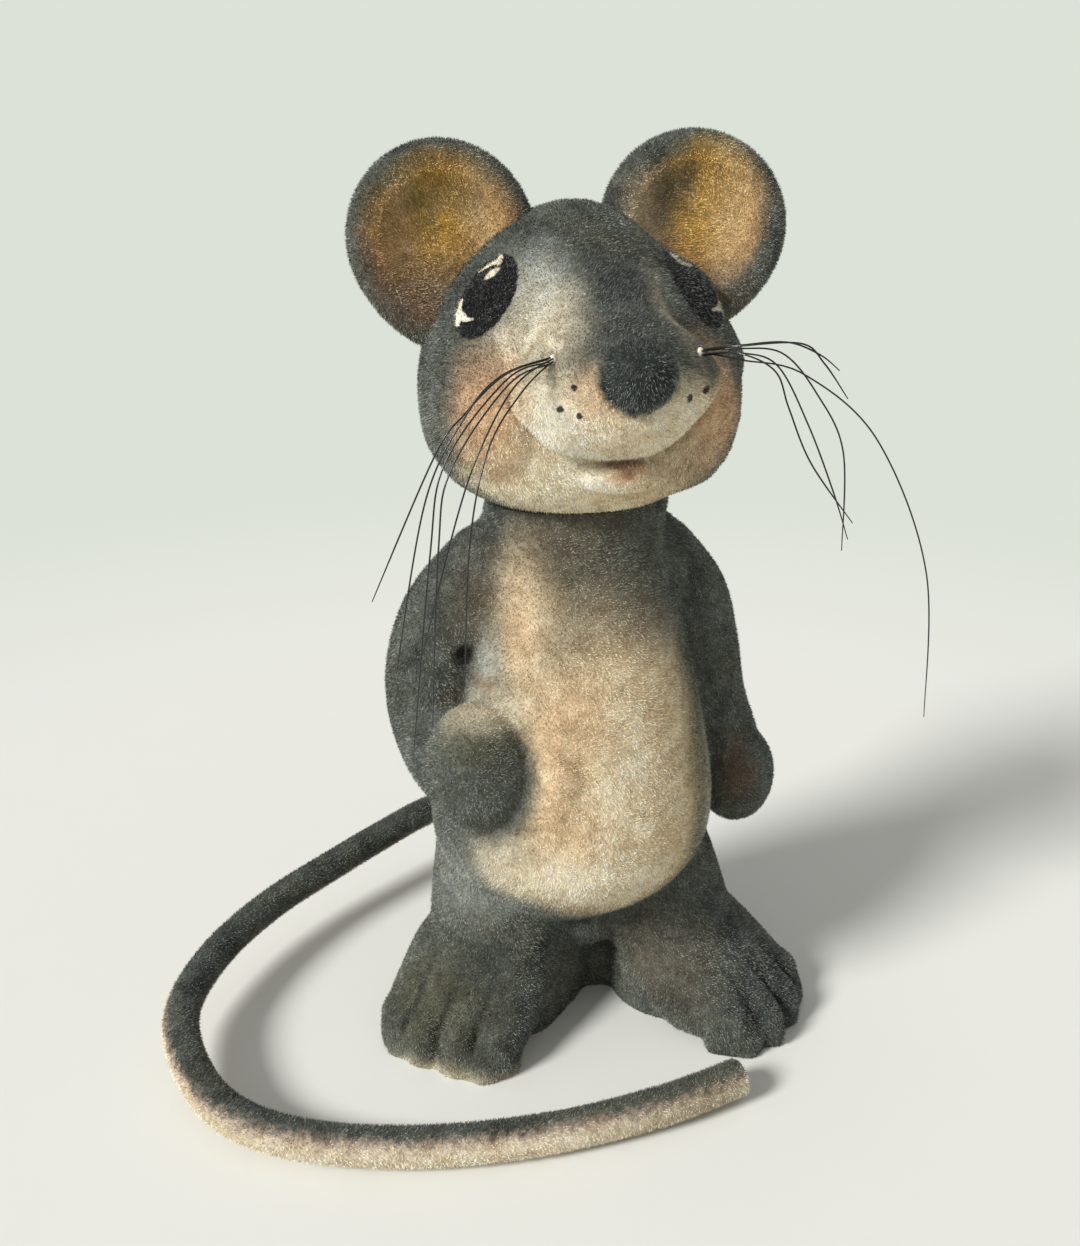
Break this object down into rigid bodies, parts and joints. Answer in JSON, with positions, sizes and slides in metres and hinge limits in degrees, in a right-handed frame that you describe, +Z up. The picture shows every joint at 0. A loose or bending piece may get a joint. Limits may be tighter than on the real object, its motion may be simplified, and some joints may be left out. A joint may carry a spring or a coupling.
{
  "type": "rat figurine",
  "caption": "Flocked standing rat figurine with a turning head, cupped round ears, a bent arm, big splayed feet, nylon whiskers and a long wired tail.",
  "frame": {"origin": "middle of the overall box seen from above, at the floor under the soles", "axes": "+Z up; -Y the way the figure looks; +X the figure's own left"},
  "size_m": [0.1224, 0.0938, 0.1502],
  "materials": {
    "grey_flock": "short nylon flock over a plastic casting",
    "brown_flock": "short nylon flock over a plastic moulding",
    "white_plastic": "as moulded",
    "steel_wire": "drawn soft wire",
    "black_nylon": "smooth filament"
  },
  "bodies": {
    "figure": {"body_shell": "grey_flock", "tail_sleeve": "grey_flock", "tail_wire": "steel_wire"},
    "head": {"head_shell": "grey_flock", "ear_right": "brown_flock", "ear_left": "brown_flock", "neck_plug": "white_plastic", "whisker_right_1": "black_nylon", "whisker_right_2": "black_nylon", "whisker_right_3": "black_nylon", "whisker_right_4": "black_nylon", "whisker_right_5": "black_nylon", "whisker_right_6": "black_nylon", "whisker_left_1": "black_nylon", "whisker_left_2": "black_nylon", "whisker_left_3": "black_nylon", "whisker_left_4": "black_nylon", "whisker_left_5": "black_nylon", "whisker_left_6": "black_nylon"}
  },
  "joints": [
    {"name": "head_turn", "type": "hinge", "parent": "figure", "child": "head", "pos_m": [0.01153, -0.00635, 0.0954], "axis": [0, 0, 1], "continuous": true}
  ]
}
